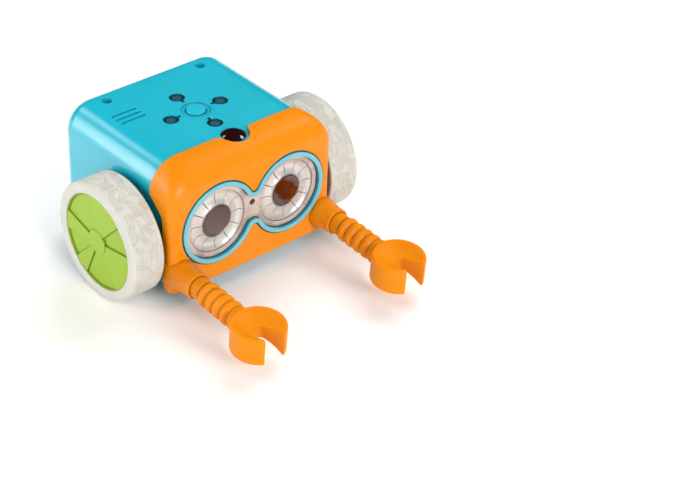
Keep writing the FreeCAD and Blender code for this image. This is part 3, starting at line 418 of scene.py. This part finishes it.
TYRE_SEAT_RADIUS = 27.9 * MM
TYRE_LIP_RADIUS = 26.1 * MM
TYRE_LIP_WIDTH = 4.4 * MM
TYRE_LIP_ROUND = 0.5 * MM
TYRE_INNER_ROUND = 0.8 * MM
TYRE_OUTER_ROUND = 1.5 * MM
ROUND_STOP_DEG = 6         # each round stops this far short of the tread, whose end closes it

# The traces run on a grid of steps round the tyre and lanes across it.
TREAD_SEED = 11
TREAD_STEPS = 128
TREAD_LANES = 12
TREAD_MARGIN = 0.5 * MM
# Each pass: how many bundles it tries, how many traces they may have, and their most jogs.
TREAD_PASSES = ((1500, (3, 4, 5), 5), (3000, (1, 2, 3), 3), (8000, (1,), 1))
# Ranges of steps, the last one left out: ahead of a jog, in a jog, and after the last jog.
STRAIGHT_STEPS = (1, 7)
JOG_STEPS = (1, 3)
END_STEPS = (2, 6)

# A groove has full depth within its floor and none past its half width; traces end in rings.
GROOVE_DEPTH = 0.4 * MM
GROOVE_HALF = 0.44 * MM
GROOVE_FLOOR = 0.08 * MM
PAD_RADIUS = 0.55 * MM
AROUND = 1000              # mesh points round the tyre
ACROSS = 76                # mesh points across its tread
FAR = 1.0                  # a distance past the reach of every groove


def strand_cells(start, lane, shifts):
    """Grid cells (step, lane) of one trace that runs round the tyre with sideways jogs."""
    cells = [(start, lane)]
    for offset, shift in enumerate(shifts, 1):
        lane += shift
        cells.append((start + offset, lane))
    return cells


def footprint(cells):
    """The cells that a trace keeps for itself, corners of its diagonal jogs included."""
    used = set()
    for (step, lane), (next_step, next_lane) in zip(cells, cells[1:]):
        used |= {(step % TREAD_STEPS, lane), (next_step % TREAD_STEPS, next_lane),
                 (step % TREAD_STEPS, next_lane), (next_step % TREAD_STEPS, lane)}
    return used


def trace_bundle(chooser, counts, most_jogs):
    """A random bundle of parallel traces, whose ends are a little ragged."""
    count = chooser.choice(counts)
    lane = chooser.randrange(TREAD_LANES)
    start = chooser.randrange(TREAD_STEPS)
    shifts = []
    for _ in range(chooser.randrange(1, most_jogs + 1)):
        shifts += [0] * chooser.randrange(*STRAIGHT_STEPS)
        shifts += [chooser.choice((-1, 1))] * chooser.randrange(*JOG_STEPS)
    shifts += [0] * chooser.randrange(*END_STEPS)
    bundle = []
    for strand in range(count):
        cells = strand_cells(start, lane + strand, shifts)
        bundle.append(cells[chooser.randrange(2):len(cells) - chooser.randrange(2)])
    return bundle


def tread_traces(seed):
    """Bundles of parallel traces: wide ones first, then narrower ones that fill what is left."""
    chooser = random.Random(seed)
    taken, traces = set(), []
    for tries, counts, most_jogs in TREAD_PASSES:
        for _ in range(tries):
            bundle = trace_bundle(chooser, counts, most_jogs)
            claimed = set().union(*(footprint(cells) for cells in bundle))
            inside = all(0 <= lane < TREAD_LANES for _, lane in claimed)
            if inside and not claimed & taken:
                taken |= claimed
                traces += bundle
    return traces


def tread_relief(seed, around_length, width):
    """How deep the tread is engraved at every grid point, rows round the tyre by columns across."""
    step_length = around_length / TREAD_STEPS
    lane_pitch = (width - 2 * TREAD_MARGIN) / (TREAD_LANES - 1)
    row_pitch, column_pitch = around_length / AROUND, width / (ACROSS - 1)
    line_distance = np.full((AROUND, ACROSS), FAR)
    pad_distance = np.full((AROUND, ACROSS), FAR)
    reach = PAD_RADIUS + GROOVE_HALF

    def window(low, high):
        """Row and column indices, and their places, within reach of a stretch of tread."""
        first_row = math.floor((low[0] - reach) / row_pitch)
        last_row = math.ceil((high[0] + reach) / row_pitch)
        first_column = max(0, math.floor((low[1] - reach) / column_pitch))
        last_column = min(ACROSS - 1, math.ceil((high[1] + reach) / column_pitch))
        rows = np.arange(first_row, last_row + 1)
        columns = np.arange(first_column, last_column + 1)
        return rows, columns, rows[:, None] * row_pitch, columns[None, :] * column_pitch

    for cells in tread_traces(seed):
        route = [(step * step_length, TREAD_MARGIN + lane * lane_pitch) for step, lane in cells]
        for start, end in zip(route, route[1:]):
            low, high = np.minimum(start, end), np.maximum(start, end)
            rows, columns, along, across = window(low, high)
            run = np.subtract(end, start)
            share = ((along - start[0]) * run[0] + (across - start[1]) * run[1]) / run.dot(run)
            share = np.clip(share, 0, 1)
            gap = np.hypot(along - start[0] - share * run[0], across - start[1] - share * run[1])
            cut = np.ix_(rows % AROUND, columns)
            line_distance[cut] = np.minimum(line_distance[cut], gap)
        for end in (route[0], route[-1]):
            rows, columns, along, across = window(end, end)
            gap = np.hypot(along - end[0], across - end[1])
            cut = np.ix_(rows % AROUND, columns)
            pad_distance[cut] = np.minimum(pad_distance[cut], gap)
    ring = np.abs(pad_distance - PAD_RADIUS)
    distance = np.where(pad_distance < PAD_RADIUS, ring, np.minimum(ring, line_distance))
    return GROOVE_DEPTH * (1 - smoothstep(GROOVE_FLOOR, GROOVE_HALF, distance))


def arc_points(centre, radius, first_deg, last_deg, count):
    """Points (x, r) along an arc in the tyre's section; 0 degrees points outwards along x."""
    angles = np.radians(np.linspace(first_deg, last_deg, count))
    return [(centre[0] + radius * math.cos(a), centre[1] + radius * math.sin(a)) for a in angles]


def tyre_section(inner_x, outer_x, radius):
    """Points (x, r) of a tyre's section: those ahead of its tread, on its tread, and after it."""
    inner = (inner_x + TYRE_INNER_ROUND, radius - TYRE_INNER_ROUND)
    outer = (outer_x - TYRE_OUTER_ROUND, radius - TYRE_OUTER_ROUND)
    lip = (outer_x - TYRE_LIP_ROUND, TYRE_LIP_RADIUS + TYRE_LIP_ROUND)
    lip_x = outer_x - TYRE_LIP_WIDTH
    head = [(inner_x, TYRE_SEAT_RADIUS)]
    head += arc_points(inner, TYRE_INNER_ROUND, 180, 90 + ROUND_STOP_DEG, count=6)
    tread = [(x, radius) for x in np.linspace(inner[0], outer[0], ACROSS)]
    tail = arc_points(outer, TYRE_OUTER_ROUND, 90 - ROUND_STOP_DEG, 0, count=9)
    tail += arc_points(lip, TYRE_LIP_ROUND, 0, -90, count=5)
    tail += [(lip_x, TYRE_LIP_RADIUS), (lip_x, TYRE_SEAT_RADIUS)]
    return head, tread, tail


def tyre_piece(side):
    """A tyre whose tread carries engraved traces, in the CAD tyre's envelope."""
    node = f"tyre_{side}"
    low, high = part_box(node)
    sign = SIDES[side]
    inner_x, outer_x = (low.x, high.x) if sign > 0 else (-high.x, -low.x)
    radius = (high.z - low.z) / 2
    axle = (low + high) / 2
    head, tread, tail = tyre_section(inner_x, outer_x, radius)
    section = np.array(head + tread + tail)
    tread_width = tread[-1][0] - tread[0][0]
    depth = np.zeros((AROUND, len(section)))
    depth[:, len(head):len(head) + ACROSS] = tread_relief(TREAD_SEED + sign, 2 * math.pi * radius,
                                                          tread_width)
    reach = section[:, 1] - depth
    turn = np.linspace(0, 2 * math.pi, AROUND, endpoint=False)[:, None]
    points = np.empty((AROUND, len(section), 3))
    points[:, :, 0] = sign * section[:, 0]
    points[:, :, 1] = axle.y - reach * np.cos(turn) * sign
    points[:, :, 2] = axle.z + reach * np.sin(turn)
    piece = grid_piece(f"{node}_tread", points, MATERIALS["tyre_grey"], True, True)
    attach(piece, f"wheel_{side}")
    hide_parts(node)


# --- eyes -------------------------------------------------------------------------------

PETALS = 12
BOWL_RINGS = 44
BOWL_STEPS = 720
BOWL_HOLE_RADIUS = 8.75 * MM
BOWL_DEPTH = 2.1 * MM
BOWL_SKEW = 0.8            # below 1, the trough is deepest nearer to the outer rim
HOLE_EDGE_DEPTH = 0.15 * MM
CREASE_DEPTH = 0.8 * MM
CREASE_HALF = 0.26 * MM
CREASE_FLOOR = 0.05 * MM
CREASE_ENDS = (0.1, 0.85)  # shares of the way in where a crease is first and last at full depth


def reflector_piece(side):
    """The silver bowl round a pupil: a shallow trough parted by fine creases, with a flat back."""
    node = f"reflector_{side}"
    low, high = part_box(node)
    thickness = high.y - low.y
    outer_radius = (high.x - low.x) / 2
    centre = ((low.x + high.x) / 2, low.y, (low.z + high.z) / 2)
    back_radii = (BOWL_HOLE_RADIUS, outer_radius)
    first_end, last_end = CREASE_ENDS

    def place(ring, angles):
        if ring >= BOWL_RINGS:
            radius = back_radii[ring - BOWL_RINGS]
            depth = np.full(BOWL_STEPS, thickness)
        else:
            share = ring / (BOWL_RINGS - 1)
            radius = outer_radius + (BOWL_HOLE_RADIUS - outer_radius) * share
            turn = (angles * PETALS / (2 * math.pi)) % 1.0
            gap = np.minimum(turn, 1 - turn) * 2 * math.pi / PETALS * radius
            crease = CREASE_DEPTH * (1 - smoothstep(CREASE_FLOOR, CREASE_HALF, gap))
            fade = smoothstep(0.0, first_end, share) * (1 - smoothstep(last_end, 1.0, share))
            trough = BOWL_DEPTH * math.sin(math.pi * share ** BOWL_SKEW)
            depth = trough + HOLE_EDGE_DEPTH * share + crease * fade
        return np.stack([radius * np.cos(angles), depth, radius * np.sin(angles)], axis=1)

    points = round_grid(centre, BOWL_RINGS + len(back_radii), BOWL_STEPS, place)
    piece = grid_piece(f"{node}_bowl", points, MATERIALS["reflector_silver"], True, True)
    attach(piece, "chassis")
    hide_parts(node)


# --- indicator windows ------------------------------------------------------------------

WINDOW_RADIUS = 4.1 * MM
DISC_STEPS = 64
# Radius, and height over the window's top, both in mm, from the disc's middle to its rim.
DISC_PROFILE = [(0.0, 0.16), (0.8, 0.16), (1.6, 0.15), (2.2, 0.12), (2.5, 0.04), (2.55, -0.1)]


def disc_piece(place_name):
    """The frosted disc in a dark window: round, with a low domed top."""
    low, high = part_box(f"indicator_{place_name}")
    middle_x, middle_y = (low.x + high.x) / 2, (low.y + high.y) / 2
    x = {"left": low.x + WINDOW_RADIUS, "right": high.x - WINDOW_RADIUS}.get(place_name, middle_x)
    y = {"front": low.y + WINDOW_RADIUS, "back": high.y - WINDOW_RADIUS}.get(place_name, middle_y)

    def place(ring, angles):
        radius, height = (value * MM for value in DISC_PROFILE[ring])
        heights = np.full(DISC_STEPS, height)
        return np.stack([radius * np.cos(angles), radius * np.sin(angles), heights], axis=1)

    points = round_grid((x, y, high.z), len(DISC_PROFILE), DISC_STEPS, place)
    piece = grid_piece(f"indicator_{place_name}_disc", points, DIFFUSER, closed_rows=True)
    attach(piece, "chassis")


# --- camera, light and floor ------------------------------------------------------------

# Angles in degrees, focal length and sensor in mm, shift in shares of the frame's width.
CAMERA_PLACE = Vector((-0.50615, -0.61975, 0.56785))
CAMERA_AZIMUTH = -43.272
CAMERA_ELEVATION = 34.839
CAMERA_ROLL = 2.776
CAMERA_SHIFT = (0.0019, -0.001)
CAMERA_NEAREST = 0.01
FOCAL_LENGTH = 96.59
SENSOR_WIDTH = 36.0

# Name, place, width and height, power in watts, and whether shiny surfaces mirror it.
SOFTBOXES = (
    ("back_left", (-0.98, 0.72, 0.42), (0.6, 0.8), 8, True),
    ("back", (-0.35, 1.05, 0.92), (0.35, 0.35), 1.2, True),
    ("right", (0.95, -0.2, 1.05), (0.4, 0.4), 3, True),
    ("key", (0.9, 0.6, 1.1), (1.0, 1.0), 15, False),
    ("left", (-1.2, -0.2, 0.6), (0.8, 0.6), 4, True),
    ("front", (-0.2, -1.35, 0.7), (0.7, 0.6), 19, True),
)
SOFTBOX_AIM = Vector((0, 0, 0.03))
ROOM_COLOR = (1.0, 0.99, 0.98)
ROOM_STRENGTH = 0.32

FLOOR_HALF = 3.0
FLOOR_CELLS = 24


def add_camera():
    """The photograph's view of the robot."""
    azimuth, elevation, roll = map(math.radians, (CAMERA_AZIMUTH, CAMERA_ELEVATION, CAMERA_ROLL))
    back = Vector((math.sin(azimuth) * math.cos(elevation), -math.cos(azimuth) * math.cos(elevation),
                   math.sin(elevation)))
    right = Vector((math.cos(azimuth), math.sin(azimuth), 0))
    up = back.cross(right)
    turn = Matrix((right, up, back)).transposed() @ Matrix.Rotation(roll, 3, "Z")
    data = bpy.data.cameras.new("camera")
    data.lens = FOCAL_LENGTH
    data.sensor_width = SENSOR_WIDTH
    data.shift_x, data.shift_y = CAMERA_SHIFT
    data.clip_start = CAMERA_NEAREST
    camera = bpy.data.objects.new("camera", data)
    camera.matrix_world = Matrix.Translation(CAMERA_PLACE) @ turn.to_4x4()
    bpy.context.scene.collection.objects.link(camera)
    bpy.context.scene.camera = camera


def add_softbox(name, place, size, power, mirrored):
    """A rectangular lamp that faces the robot; one that isn't mirrored makes no highlights."""
    data = bpy.data.lights.new(name, "AREA")
    data.shape = "RECTANGLE"
    data.size, data.size_y = size
    data.energy = power
    light = bpy.data.objects.new(name, data)
    light.location = place
    light.rotation_euler = (SOFTBOX_AIM - Vector(place)).to_track_quat("-Z", "Y").to_euler()
    light.visible_glossy = mirrored
    bpy.context.scene.collection.objects.link(light)


def add_room():
    """Even light from all sides, which shiny surfaces don't mirror."""
    room = bpy.data.worlds.new("studio")
    room.use_nodes = True
    background = room.node_tree.nodes["Background"]
    background.inputs["Color"].default_value = [*ROOM_COLOR, 1]
    background.inputs["Strength"].default_value = ROOM_STRENGTH
    bpy.context.scene.world = room
    room.cycles_visibility.glossy = False


def add_floor():
    """A wide sheet of pale card under the robot."""
    finish = Finish("floor_card", linear(246, 244, 242), 0.7)
    finish.mottle(scale=12.0, spread=0.008).grain(scale=900.0, depth=10 * MICRON)
    spots = np.linspace(-FLOOR_HALF, FLOOR_HALF, FLOOR_CELLS + 1)
    points = np.zeros((FLOOR_CELLS + 1, FLOOR_CELLS + 1, 3))
    points[:, :, 0] = spots[:, None]
    points[:, :, 1] = spots[None, :]
    floor = grid_piece("floor", points, finish.material)


# --- build ------------------------------------------------------------------------------

dress_nodes()
for side in SIDES:
    tyre_piece(side)
    reflector_piece(side)
for place_name in ("front", "back", "left", "right"):
    disc_piece(place_name)
add_camera()
add_floor()
for softbox in SOFTBOXES:
    add_softbox(*softbox)
add_room()
bpy.context.scene.view_settings.view_transform = "Standard"
